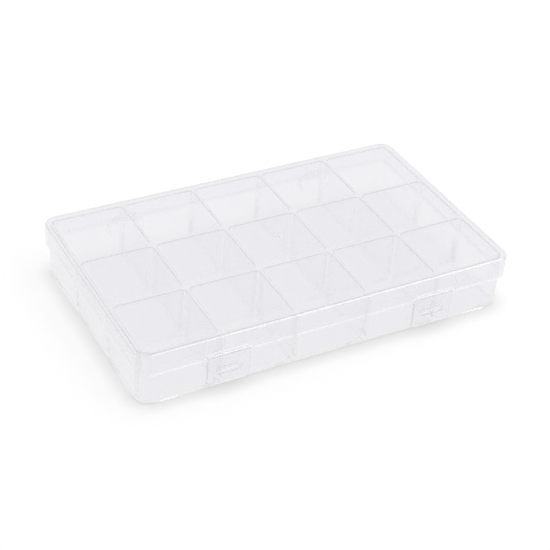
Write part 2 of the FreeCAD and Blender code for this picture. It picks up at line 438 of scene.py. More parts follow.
def moulded_surface_group() -> bpy.types.NodeTree:
    """Node group for injection moulded clear plastic: flow marks, fine wear and an uneven polish.

    Returns:
        The group, made at the first call and shared after that.
    """
    name = "moulded_surface"
    if name in bpy.data.node_groups:
        return bpy.data.node_groups[name]
    group = bpy.data.node_groups.new(name, "ShaderNodeTree")
    for label, kind in (
        ("Place", "NodeSocketVector"),
        ("Tint", "NodeSocketColor"),
        ("Deep Tint", "NodeSocketColor"),
        ("Polish", "NodeSocketFloat"),
        ("Haze", "NodeSocketFloat"),
        ("Flow", "NodeSocketFloat"),
        ("Wear", "NodeSocketFloat"),
    ):
        group.interface.new_socket(label, in_out="INPUT", socket_type=kind)
    for label, kind in (
        ("Colour", "NodeSocketColor"),
        ("Roughness", "NodeSocketFloat"),
        ("Height", "NodeSocketFloat"),
    ):
        group.interface.new_socket(label, in_out="OUTPUT", socket_type=kind)
    bench = NodeBench(group)
    given = bench.add("NodeGroupInput")
    result = bench.add("NodeGroupOutput")

    flow = bench.add("ShaderNodeTexNoise", noise_dimensions="3D")
    flow.inputs["Scale"].default_value = MARKS.flow_scale
    flow.inputs["Detail"].default_value = MARKS.flow_detail
    flow.inputs["Roughness"].default_value = MARKS.flow_roughness
    bench.link(given.outputs["Place"], flow.inputs["Vector"])

    stretched = bench.add("ShaderNodeMapping")
    stretched.inputs["Scale"].default_value = MARKS.hair_scale
    stretched.inputs["Rotation"].default_value = MARKS.hair_turn
    bench.link(given.outputs["Place"], stretched.inputs["Vector"])
    hairline = bench.add("ShaderNodeTexNoise", noise_dimensions="3D")
    hairline.inputs["Scale"].default_value = 1.0
    hairline.inputs["Detail"].default_value = MARKS.hair_detail
    bench.link(stretched.outputs["Vector"], hairline.inputs["Vector"])
    scratch = bench.add("ShaderNodeMapRange", clamp=True)
    scratch.inputs["From Min"].default_value, scratch.inputs["From Max"].default_value = MARKS.hair_span
    bench.link(hairline.outputs["Fac"], scratch.inputs["Value"])
    worn = bench.math("MULTIPLY", scratch.outputs["Result"], given.outputs["Wear"])

    tint = bench.add("ShaderNodeMix", data_type="RGBA")
    bench.link(flow.outputs["Fac"], tint.inputs["Factor"])
    bench.link(given.outputs["Tint"], tint.inputs["A"])
    bench.link(given.outputs["Deep Tint"], tint.inputs["B"])
    bench.link(tint.outputs["Result"], result.inputs["Colour"])

    cloudy = bench.math("MULTIPLY", flow.outputs["Fac"], given.outputs["Haze"])
    polish = bench.math("ADD", cloudy, given.outputs["Polish"])
    marked = bench.math("MULTIPLY_ADD", worn, MARKS.scratch_dull)
    bench.link(polish, marked.node.inputs[2])
    bench.link(marked, result.inputs["Roughness"])

    wave = bench.math("MULTIPLY", flow.outputs["Fac"], given.outputs["Flow"])
    nick = bench.math("MULTIPLY", worn, MARKS.scratch_depth)
    bench.link(bench.math("SUBTRACT", wave, nick), result.inputs["Height"])
    return group


@dataclass(frozen=True)
class ClearPlastic:
    """Finish of one clear moulding."""

    name: str
    tint: tuple[float, float, float]
    deep_tint: tuple[float, float, float]
    shade_pass: tuple[float, float, float]
    index: float = 1.52
    polish: float = 0.1
    haze: float = 0.04
    clarity: float = 1.0
    flow: float = 1.0
    wear: float = 0.6
    relief: float = 2.5e-5
    longest_path: float = 8.0
    facing_blend: float = 0.5
    grazing_power: float = 5.0
    # Painted shade: colour multiplied onto the rounds of the rims so that they show as dark lines
    rim_painted_shade: tuple[float, float, float] = (0.74, 0.74, 0.78)
    rim_rise: tuple[float, float] = (0.03, 0.036)
    rim_axis: str = "Z"
    rim_lean: tuple[float, float] = (0.1, 0.3)
    rim_flat: tuple[float, float] = (0.985, 0.93)

    def material(self) -> bpy.types.Material:
        """Build the material, or give the one already built.

        Returns:
            The material of this finish.
        """
        if self.name in bpy.data.materials:
            return bpy.data.materials[self.name]
        material = bpy.data.materials.new(self.name)
        material.use_nodes = True
        bench = NodeBench(material.node_tree)
        material.node_tree.nodes.clear()
        place = bench.add("ShaderNodeTexCoord")
        surface = bench.add("ShaderNodeGroup", node_tree=moulded_surface_group())
        surface.inputs["Tint"].default_value = (*self.tint, 1.0)
        surface.inputs["Deep Tint"].default_value = (*self.deep_tint, 1.0)
        surface.inputs["Polish"].default_value = self.polish
        surface.inputs["Haze"].default_value = self.haze
        surface.inputs["Flow"].default_value = self.flow
        surface.inputs["Wear"].default_value = self.wear
        bench.link(place.outputs["Object"], surface.inputs["Place"])

        bump = bench.add("ShaderNodeBump")
        bump.inputs["Strength"].default_value = 1.0
        bump.inputs["Distance"].default_value = self.relief
        bench.link(surface.outputs["Height"], bump.inputs["Height"])

        plastic = bench.add("ShaderNodeBsdfPrincipled")
        plastic.inputs["IOR"].default_value = self.index
        plastic.inputs["Transmission Weight"].default_value = self.clarity
        bench.link(self.paint_rim_shade(bench, place, surface), plastic.inputs["Base Color"])
        bench.link(surface.outputs["Roughness"], plastic.inputs["Roughness"])
        bench.link(bump.outputs["Normal"], plastic.inputs["Normal"])

        path = bench.add("ShaderNodeLightPath")
        lamp_ray = bench.math("MAXIMUM", path.outputs["Is Shadow Ray"], path.outputs["Is Diffuse Ray"])
        trapped = bench.math("GREATER_THAN", path.outputs["Ray Depth"], self.longest_path)
        facing = bench.add("ShaderNodeLayerWeight")
        facing.inputs["Blend"].default_value = self.facing_blend
        grazing = bench.math("POWER", facing.outputs["Facing"], self.grazing_power)
        grazing = bench.math("MULTIPLY", grazing, lamp_ray)
        kept = bench.add("ShaderNodeMix", data_type="RGBA")
        kept.inputs["A"].default_value = (*self.shade_pass, 1.0)
        kept.inputs["B"].default_value = (0.0, 0.0, 0.0, 1.0)
        bench.link(grazing, kept.inputs["Factor"])
        passing = bench.add("ShaderNodeBsdfTransparent")
        bench.link(kept.outputs["Result"], passing.inputs["Color"])
        mixed = bench.add("ShaderNodeMixShader")
        bench.link(bench.math("MAXIMUM", lamp_ray, trapped), mixed.inputs["Fac"])
        bench.link(plastic.outputs["BSDF"], mixed.inputs[1])
        bench.link(passing.outputs["BSDF"], mixed.inputs[2])
        output = bench.add("ShaderNodeOutputMaterial")
        bench.link(mixed.outputs["Shader"], output.inputs["Surface"])
        return material

    def paint_rim_shade(
        self, bench: NodeBench, place: bpy.types.Node, surface: bpy.types.Node
    ) -> bpy.types.NodeSocket:
        """Paint shade onto the rounds of the rims: darken the colour there so the rims show as dark lines.

        Args:
            bench: The material's nodes.
            place: Node with the place and the normal in the piece's own frame.
            surface: Node with the plain colour.

        Returns:
            The colour with painted shade on the rims.
        """
        normal = bench.add("ShaderNodeSeparateXYZ")
        bench.link(place.outputs["Normal"], normal.inputs["Vector"])
        lean = bench.math("ABSOLUTE", normal.outputs[self.rim_axis], 0.0)
        leaning = bench.ramp(lean, self.rim_lean)
        rounded = bench.math("MULTIPLY", leaning, bench.ramp(lean, self.rim_flat))
        spot = bench.add("ShaderNodeSeparateXYZ")
        bench.link(place.outputs["Object"], spot.inputs["Vector"])
        high = bench.ramp(spot.outputs["Z"], self.rim_rise)
        # Painted shade: the rim colour is multiplied in where the surface is a round near the top
        rim_shaded = bench.add("ShaderNodeMix", data_type="RGBA", blend_type="MULTIPLY")
        bench.link(bench.math("MULTIPLY", rounded, high), rim_shaded.inputs["Factor"])
        bench.link(surface.outputs["Colour"], rim_shaded.inputs["A"])
        rim_shaded.inputs["B"].default_value = (*self.rim_painted_shade, 1.0)
        return rim_shaded.outputs["Result"]


TRAY_PLASTIC = ClearPlastic(
    "tray_clear_plastic",
    (0.985, 0.984, 0.998),
    (0.977, 0.976, 0.994),
    (0.97, 0.97, 0.97),
)
LID_PLASTIC = ClearPlastic(
    "lid_clear_plastic",
    (0.988, 0.987, 0.999),
    (0.982, 0.981, 0.996),
    (0.97, 0.97, 0.97),
    # Faint painted shade on the lid's rounded edges
    rim_painted_shade=(0.97, 0.97, 0.98),
)
LATCH_PLASTIC = ClearPlastic(
    "latch_clear_plastic",
    (0.985, 0.984, 0.994),
    (0.975, 0.974, 0.986),
    (0.96, 0.96, 0.96),
    # Painted shade on the flap's sides and rounded edges below the barrel, so its outline shows dark
    rim_painted_shade=(0.78, 0.78, 0.82),
    rim_rise=(0.0245, 0.0235),
    rim_axis="Y",
    rim_lean=(-0.2, -0.1),
)
PIN_PLASTIC = ClearPlastic(
    "pin_clear_plastic",
    (0.98, 0.98, 0.99),
    (0.97, 0.97, 0.982),
    (0.96, 0.96, 0.96),
)


@dataclass
class BoxPiece:
    """What every piece of the box knows: its place among the bodies and its finish."""

    name: str
    body: str
    node: str
    slot: str
    finish: ClearPlastic
    piece: bpy.types.Object | None = field(default=None, init=False)

    def shape(self) -> bpy.types.Object:
        """Model the piece in millimetres."""
        raise NotImplementedError

    def build(self) -> None:
        """Model the piece and set its smoothness."""
        self.piece = self.shape()
        finish_piece(self.piece)

    def dress(self) -> None:
        """Give the piece its material and tie it to the frame."""
        self.piece.data.materials.clear()
        self.piece.data.materials.append(self.finish.material())
        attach(self.piece, self.body)
        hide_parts(self.node)
        LOG.info("%s: %d faces on %s", self.name, len(self.piece.data.polygons), self.body)


@dataclass
class HingeLine:
    """Where the lid hinge lies, shared by the tray, the lid and the pins."""

    spacing: float = 150.0
    axis_y: float = 82.4
    axis_z: float = 22.6
    pin_radius: float = 1.0
    knuckle_radius: float = 2.2
    lid_half: float = 8.0
    tray_near: float = 8.3
    tray_far: float = 12.3
    pin_play: float = 0.05
    seat_play: float = 0.01
    round_sides: int = 40

    def knuckle(self, mould: Mould, x_from: float, x_to: float, roots: list[tuple[float, float]]) -> None:
        """Add a knuckle: a barrel with straight flanks to its roots on a wall.

        Args:
            mould: Where to add it.
            x_from: First end.
            x_to: Second end.
            roots: Points of the wall side as (y, z).
        """
        axis = (self.axis_y, self.axis_z)
        mould.rib((x_from, x_to), axis, self.knuckle_radius, self.round_sides, roots)


@dataclass
class LatchLine:
    """Where a latch pivots and how wide it is, shared by the lid, the flap and its pin."""

    spacing: float = 149.0
    axis_y: float = -79.6
    axis_z: float = 25.8
    pin_radius: float = 0.65
    barrel_radius: float = 1.35
    ear_inner: float = 14.95
    ear_outer: float = 16.45
    ear_face_y: float = -81.2
    notch_top: float = 27.6
    pin_play: float = 0.05
    seat_play: float = 0.01
    round_sides: int = 40


HINGE = HingeLine()
LATCH = LatchLine()


@dataclass
class CompartmentTray(BoxPiece):
    """Lower moulding: walls, dividers, latch catches and hinge knuckles."""

    columns: int = 5
    rows: int = 3
    floor: float = 1.8
    top: float = 38.2
    cell_x: float = 49.92
    cell_y: float = 48.1333333
    divider: float = 2.4
    wall: float = 2.4
    cell_corner: float = 3.5
    cell_taper: float = 0.635
    floor_round: float = 1.2
    rim_round: float = 0.7
    shoulder_low: float = 25.5
    shoulder_high: float = 27.8
    shoulder_step: float = 1.0
    shoulder_round: float = 0.3
    foot_inset: float = 0.62
    foot_round: float = 1.6
    outer_corner: float = 8.0
    corner_facets: int = 12
    floor_facets: int = 10
    rim_facets: int = 10
    foot_facets: int = 14
    shoulder_facets: int = 5
    catch_length: float = 16.0
    catch_radius: float = 0.8
    catch_y: float = -77.45
    catch_z: float = 16.73
    catch_root: float = 1.6
    wall_y_low: float = 77.4
    wall_y_high: float = 77.9
    root_depth: float = 0.8
    ear_top: float = 22.0
    ear_height: float = 8.0

    @property
    def half_x(self) -> float:
        """Half the outside length at the top."""
        return (self.columns * self.cell_x + (self.columns - 1) * self.divider) / 2 + self.wall

    @property
    def half_y(self) -> float:
        """Half the outside width at the top."""
        return (self.rows * self.cell_y + (self.rows - 1) * self.divider) / 2 + self.wall

    def cell_centre(self, column: int, row: int) -> tuple[float, float]:
        """Middle of one compartment.

        Args:
            column: Count from the left.
            row: Count from the front.

        Returns:
            Its x and y.
        """
        x = (column - (self.columns - 1) / 2) * (self.cell_x + self.divider)
        y = (row - (self.rows - 1) / 2) * (self.cell_y + self.divider)
        return x, y

    def add_cell(self, mould: Mould, column: int, row: int) -> None:
        """Add one compartment with the strip of rim around it.

        Args:
            mould: The tray in the making.
            column: Count from the left.
            row: Count from the front.
        """
        cell = Mould()
        half_x = self.cell_x / 2
        half_y = self.cell_y / 2
        cell.rounded_block(half_x, half_y, self.floor, self.top, self.cell_corner, self.corner_facets)
        low = [v for v in cell.bm.verts if abs(v.co.z - self.floor) < ON_LEVEL]
        shrink = (1 - self.cell_taper / half_x, 1 - self.cell_taper / half_y, 1.0)
        bmesh.ops.scale(cell.bm, vec=shrink, verts=low)
        cell.round_edges(cell.level_edges(self.floor), self.floor_round, self.floor_facets)
        bmesh.ops.delete(cell.bm, geom=cell.level_faces(self.top), context="FACES_ONLY")
        flange = cell.pull_edges(cell.level_edges(self.top))
        centre_x, centre_y = self.cell_centre(column, row)
        for vert in flange:
            vert.co.x, vert.co.y = self.rim_place(vert.co.x, vert.co.y, column, row)
        bmesh.ops.translate(cell.bm, vec=(centre_x, centre_y, 0.0), verts=cell.bm.verts)
        mould.take(cell)

    def rim_place(self, x: float, y: float, column: int, row: int) -> tuple[float, float]:
        """Where a point of a compartment's mouth goes on the border of its strip of rim.

        Args:
            x: Place along the front, from the compartment's middle.
            y: Place across, from the compartment's middle.
            column: Count from the left.
            row: Count from the front.

        Returns:
            The new x and y, from the compartment's middle.
        """
        end_x = column == (0 if x < 0 else self.columns - 1)
        end_y = row == (0 if y < 0 else self.rows - 1)
        reach_x = self.cell_x / 2 + (self.wall if end_x else self.divider / 2)
        reach_y = self.cell_y / 2 + (self.wall if end_y else self.divider / 2)
        straight_x = self.cell_x / 2 - self.cell_corner + ON_LEVEL
        straight_y = self.cell_y / 2 - self.cell_corner + ON_LEVEL
        if abs(y) <= straight_y:
            return math.copysign(reach_x, x), y
        if abs(x) <= straight_x:
            return x, math.copysign(reach_y, y)
        if end_x and end_y:
            angle = math.atan2(abs(y) - straight_y, abs(x) - straight_x)
            round_x = reach_x - self.outer_corner + self.outer_corner * math.cos(angle)
            round_y = reach_y - self.outer_corner + self.outer_corner * math.sin(angle)
            return math.copysign(round_x, x), math.copysign(round_y, y)
        return math.copysign(reach_x, x), math.copysign(reach_y, y)

    def wall_step(
        self, mould: Mould, ring: list[bmesh.types.BMEdge], outset: float, z: float
    ) -> list[bmesh.types.BMEdge]:
        """Draw the outer wall down by one level.

        Args:
            mould: The tray in the making.
            ring: The lowest ring of edges so far.
            outset: How far outside that ring the new one lies.
            z: Height of the new ring.

        Returns:
            The new ring.
        """
        core_x = self.half_x - self.outer_corner
        core_y = self.half_y - self.outer_corner
        fresh = mould.pull_edges(ring)
        for vert in fresh:
            core = Vector((max(-core_x, min(core_x, vert.co.x)), max(-core_y, min(core_y, vert.co.y))))
            away = (vert.co.xy - core).normalized()
            vert.co = Vector((*(vert.co.xy + away * outset), z))
        return mould.edges_between(fresh)

    def shape(self) -> bpy.types.Object:
        """Model the tray: compartments first, then the outer wall, then what is fused to it.

        Returns:
            The tray, in millimetres.
        """
        mould = Mould()
        for column in range(self.columns):
            for row in range(self.rows):
                self.add_cell(mould, column, row)
        bmesh.ops.remove_doubles(mould.bm, verts=mould.bm.verts, dist=MERGE_GAP)
        ring = [edge for edge in mould.bm.edges if edge.is_boundary]
        ring = self.wall_step(mould, ring, 0.0, self.shoulder_high)
        ring = self.wall_step(mould, ring, self.shoulder_step, self.shoulder_low)
        ring = self.wall_step(mould, ring, -self.foot_inset, 0.0)
        bmesh.ops.contextual_create(mould.bm, geom=ring)
        bmesh.ops.recalc_face_normals(mould.bm, faces=mould.bm.faces)
        crisp = [
            edge
            for edge in mould.level_edges(self.top)
            if edge.calc_face_angle(0.0) > math.radians(CRISP_ANGLE_DEG)
        ]
        mould.round_edges(crisp, self.rim_round, self.rim_facets)
        mould.round_edges(mould.level_edges(0.0), self.foot_round, self.foot_facets)
        for level in (self.shoulder_low, self.shoulder_high):
            mould.round_edges(mould.level_edges(level), self.shoulder_round, self.shoulder_facets)
        tray = mould.to_object(self.name)
        join_solids(tray, self.fused_parts(), Joining.ADD)
        join_solids(tray, self.hinge_bores(), Joining.CUT)
        return tray

    def fused_parts(self) -> Mould:
        """Catch ribs and hinge knuckles, as separate solids that reach into the walls.

        Returns:
            The solids to add to the tray.
        """
        parts = Mould()
        for side in Side:
            middle = side.value * LATCH.spacing / 2
            half = self.catch_length / 2
            ends = (middle - half, middle + half)
            axis = (self.catch_y, self.catch_z)
            root_y = self.catch_y + self.catch_root
            roots = [
                (root_y, self.catch_z - self.catch_radius),
                (root_y, self.catch_z + self.catch_radius),
            ]
            parts.rib(ends, axis, self.catch_radius, LATCH.round_sides, roots)
            hinge_x = side.value * HINGE.spacing / 2
            roots = [
                (self.wall_y_low - self.root_depth, self.ear_top - self.ear_height),
                (self.wall_y_high - self.root_depth, self.ear_top),
            ]
            HINGE.knuckle(parts, hinge_x - HINGE.tray_far, hinge_x - HINGE.tray_near, roots)
            HINGE.knuckle(parts, hinge_x + HINGE.tray_near, hinge_x + HINGE.tray_far, roots)
        return parts

    def hinge_bores(self) -> Mould:
        """Bores of the tray's knuckles.

        Returns:
            The solids to cut out of the tray.
        """
        bores = Mould()
        for side in Side:
            middle = side.value * HINGE.spacing / 2
            reach = HINGE.tray_far + CUT_OVER
            radius = HINGE.pin_radius + HINGE.seat_play
            bores.rod(radius, middle - reach, middle + reach, HINGE.axis_y, HINGE.axis_z, HINGE.round_sides)
        return bores


@dataclass
class SnapLid(BoxPiece):
    """Upper moulding: flat top, skirt, latch ears and the middle knuckles of the hinge."""

    half_x: float = 135.0
    half_y: float = 80.0
    height: float = 40.0
    underside: float = 38.4
    skirt_bottom: float = 24.2
    skirt: float = 1.7
    corner: float = 9.0
    edge_round: float = 1.5
    inner_round: float = 0.6
    corner_facets: int = 14
    edge_facets: int = 16
    inner_facets: int = 8
    ear_top: float = 38.5
    ear_round: float = 0.3
    ear_facets: int = 2
    ear_bore_over: float = 0.5
    notch_over: float = 0.3
    web_height: float = 5.0
    root_depth: float = 0.8
    gate_rings: tuple[tuple[float, float], ...] = (
        (2.36, 39.93),
        (2.2, 39.8),
        (2.04, 39.67),
        (1.9, 39.61),
        (1.7, 39.6),
        (1.25, 39.6),
        (1.1, 39.63),
        (0.95, 39.72),
        (0.8, 39.81),
        (0.62, 39.86),
        (0.45, 39.87),
    )
    gate_radius: float = 2.5
    gate_sides: int = 40

    def shape(self) -> bpy.types.Object:
        """Model the lid: shell first, then the gate mark, then what is fused to it.

        Returns:
            The lid, in millimetres.
        """
        mould = Mould()
        mould.rounded_block(
            self.half_x, self.half_y, self.skirt_bottom, self.height, self.corner, self.corner_facets
        )
        mould.round_edges(mould.level_edges(self.height), self.edge_round, self.edge_facets)
        mould.rounded_block(
            self.half_x - self.skirt,
            self.half_y - self.skirt,
            self.skirt_bottom,
            self.underside,
            self.corner - self.skirt,
            self.corner_facets,
        )
        mould.round_edges(mould.level_edges(self.underside), self.inner_round, self.inner_facets)
        bmesh.ops.delete(mould.bm, geom=mould.level_faces(self.skirt_bottom), context="FACES_ONLY")
        bmesh.ops.bridge_loops(mould.bm, edges=mould.level_edges(self.skirt_bottom))
        self.sink_gate(mould)
        lid = mould.to_object(self.name)
        join_solids(lid, self.fused_parts(), Joining.ADD)
        join_solids(lid, self.latch_notches(), Joining.CUT)
        join_solids(lid, self.pin_bores(), Joining.CUT)
        return lid

    def sink_gate(self, mould: Mould) -> None:
        """Sink the small round mark in the middle of the top.

        Args:
            mould: The lid in the making.
        """
        flat = mould.level_faces(self.height)
        outline = [edge for face in flat for edge in face.edges]
        bmesh.ops.delete(mould.bm, geom=flat, context="FACES_ONLY")
        circle = bmesh.ops.create_circle(
            mould.bm,
            segments=self.gate_sides,
            radius=self.gate_radius,
            matrix=Matrix.Translation((0.0, 0.0, self.height)),
        )["verts"]
        ring = mould.edges_between(circle)
        bmesh.ops.triangle_fill(mould.bm, edges=outline + ring, use_beauty=True, normal=(0.0, 0.0, 1.0))
        for radius, z in self.gate_rings:
            fresh = mould.pull_edges(ring)
            for vert in fresh:
                vert.co = Vector((*(vert.co.xy.normalized() * radius), z))
            ring = mould.edges_between(fresh)
        bmesh.ops.contextual_create(mould.bm, geom=ring)

    def fused_parts(self) -> Mould:
        """Latch ears and middle knuckles, as separate solids that reach into the skirt.

        Returns:
            The solids to add to the lid.
        """
        parts = Mould()
        for side in Side:
            middle = side.value * LATCH.spacing / 2
            for end in (-1, 1):
                near = middle + end * LATCH.ear_inner
                far = middle + end * LATCH.ear_outer
                ear = Mould()
                ear.block(
                    Vector((min(near, far), LATCH.ear_face_y, self.skirt_bottom)),
                    Vector((max(near, far), self.skirt / 2 - self.half_y, self.ear_top)),
                )
                front = ear.edges_where(lambda a, b: max(a.y, b.y) < LATCH.ear_face_y + ON_LEVEL)
                ear.round_edges(front, self.ear_round, self.ear_facets)
                ear.tidy()
                parts.take(ear)
            hinge_x = side.value * HINGE.spacing / 2
            root_y = self.half_y - self.root_depth
            roots = [(root_y, self.skirt_bottom), (root_y, self.skirt_bottom + self.web_height)]
            HINGE.knuckle(parts, hinge_x - HINGE.lid_half, hinge_x + HINGE.lid_half, roots)
        return parts

    def latch_notches(self) -> Mould:
        """Notches of the skirt in which the latch barrels turn.

        Returns:
            The solids to cut out of the lid.
        """
        cuts = Mould()
        for side in Side:
            middle = side.value * LATCH.spacing / 2
            front_y = LATCH.ear_face_y - CUT_OVER
            back_y = self.skirt - self.half_y + self.notch_over
            cuts.block(
                Vector((middle - LATCH.ear_inner, front_y, self.skirt_bottom - CUT_OVER)),
                Vector((middle + LATCH.ear_inner, back_y, LATCH.notch_top)),
            )
        return cuts

    def pin_bores(self) -> Mould:
        """Bores of the ears and of the knuckles.

        Returns:
            The solids to cut out of the lid.
        """
        cuts = Mould()
        for side in Side:
            middle = side.value * LATCH.spacing / 2
            for end in (-1, 1):
                near = middle + end * (LATCH.ear_inner - self.ear_bore_over)
                far = middle + end * (LATCH.ear_outer + self.ear_bore_over)
                radius = LATCH.pin_radius + LATCH.seat_play
                low, high = min(near, far), max(near, far)
                cuts.rod(radius, low, high, LATCH.axis_y, LATCH.axis_z, LATCH.round_sides)
            hinge_x = side.value * HINGE.spacing / 2
            reach = HINGE.lid_half + CUT_OVER
            low, high = hinge_x - reach, hinge_x + reach
            radius = HINGE.pin_radius + HINGE.pin_play
            cuts.rod(radius, low, high, HINGE.axis_y, HINGE.axis_z, HINGE.round_sides)
        return cuts


@dataclass
class FlapLatch(BoxPiece):
    """Latch flap: barrel, plate with a grip recess in front and a catch boss behind."""

    side: Side = Side.LEFT
    half_width: float = 14.7
    face_y: float = -80.95
    back_y: float = -79.35
    bottom: float = 3.6
    corner: float = 3.0
    corner_facets: int = 8
    edge_round: float = 0.35
    edge_facets: int = 3
    grip_length: float = 18.0
    grip_height: float = 5.0
    grip_depth: float = 0.7
    grip_z: float = 14.03
    grip_facets: int = 10
    grip_round: float = 0.25
    boss_length: float = 16.0
    boss_height: float = 3.4
    boss_reach: float = 0.95
    boss_facets: int = 8

    def shape(self) -> bpy.types.Object:
        """Model the flap.

        Returns:
            The flap, in millimetres.
        """
        middle = self.side.value * LATCH.spacing / 2
        mould = Mould()
        mould.block(
            Vector((middle - self.half_width, self.face_y, self.bottom)),
            Vector((middle + self.half_width, self.back_y, LATCH.axis_z)),
        )
        lower = mould.edges_where(
            lambda a, b: abs(a.y - b.y) > ON_LEVEL and max(a.z, b.z) < self.bottom + ON_LEVEL
        )
        mould.round_edges(lower, self.corner, self.corner_facets)
        front = mould.edges_where(
            lambda a, b: max(a.y, b.y) < self.face_y + ON_LEVEL and min(a.z, b.z) < LATCH.axis_z - ON_LEVEL
        )
        mould.round_edges(front, self.edge_round, self.edge_facets)
        flap = mould.to_object(self.name)
        added = Mould()
        added.rod(
            LATCH.barrel_radius,
            middle - self.half_width,
            middle + self.half_width,
            LATCH.axis_y,
            LATCH.axis_z,
            LATCH.round_sides,
        )
        added.pill(
            self.boss_length,
            self.boss_height,
            self.back_y - self.grip_depth / 2,
            self.back_y + self.boss_reach,
            middle,
            self.grip_z,
            self.boss_facets,
        )
        join_solids(flap, added, Joining.ADD)
        cuts = Mould()
        cuts.pill(
            self.grip_length,
            self.grip_height,
            self.face_y - CUT_OVER,
            self.face_y + self.grip_depth,
            middle,
            self.grip_z,
            self.grip_facets,
        )
        floor_rim = cuts.edges_where(lambda a, b: min(a.y, b.y) > self.face_y)
        cuts.round_edges(floor_rim, self.grip_round, self.edge_facets)
        cuts.rod(
            LATCH.pin_radius + LATCH.pin_play,
            middle - self.half_width - CUT_OVER,
            middle + self.half_width + CUT_OVER,
            LATCH.axis_y,
            LATCH.axis_z,
            LATCH.round_sides,
        )
        join_solids(flap, cuts, Joining.CUT)
        return flap


@dataclass
class PivotPin(BoxPiece):
    """Round pin of a latch or of the lid hinge."""

    middle: float = 0.0
    half_length: float = 10.0
    radius: float = 1.0
    axis_y: float = 0.0
    axis_z: float = 0.0
    end_round: float = 0.15
    end_facets: int = 2
    sides: int = 40

    def shape(self) -> bpy.types.Object:
        """Model the pin with softened ends.

        Returns:
            The pin, in millimetres.
        """
        mould = Mould()
        low = self.middle - self.half_length
        high = self.middle + self.half_length
        mould.rod(self.radius, low, high, self.axis_y, self.axis_z, self.sides)
        ends = mould.edges_where(lambda a, b: abs(a.x - b.x) < ON_LEVEL)
        mould.round_edges(ends, self.end_round, self.end_facets)
        return mould.to_object(self.name)


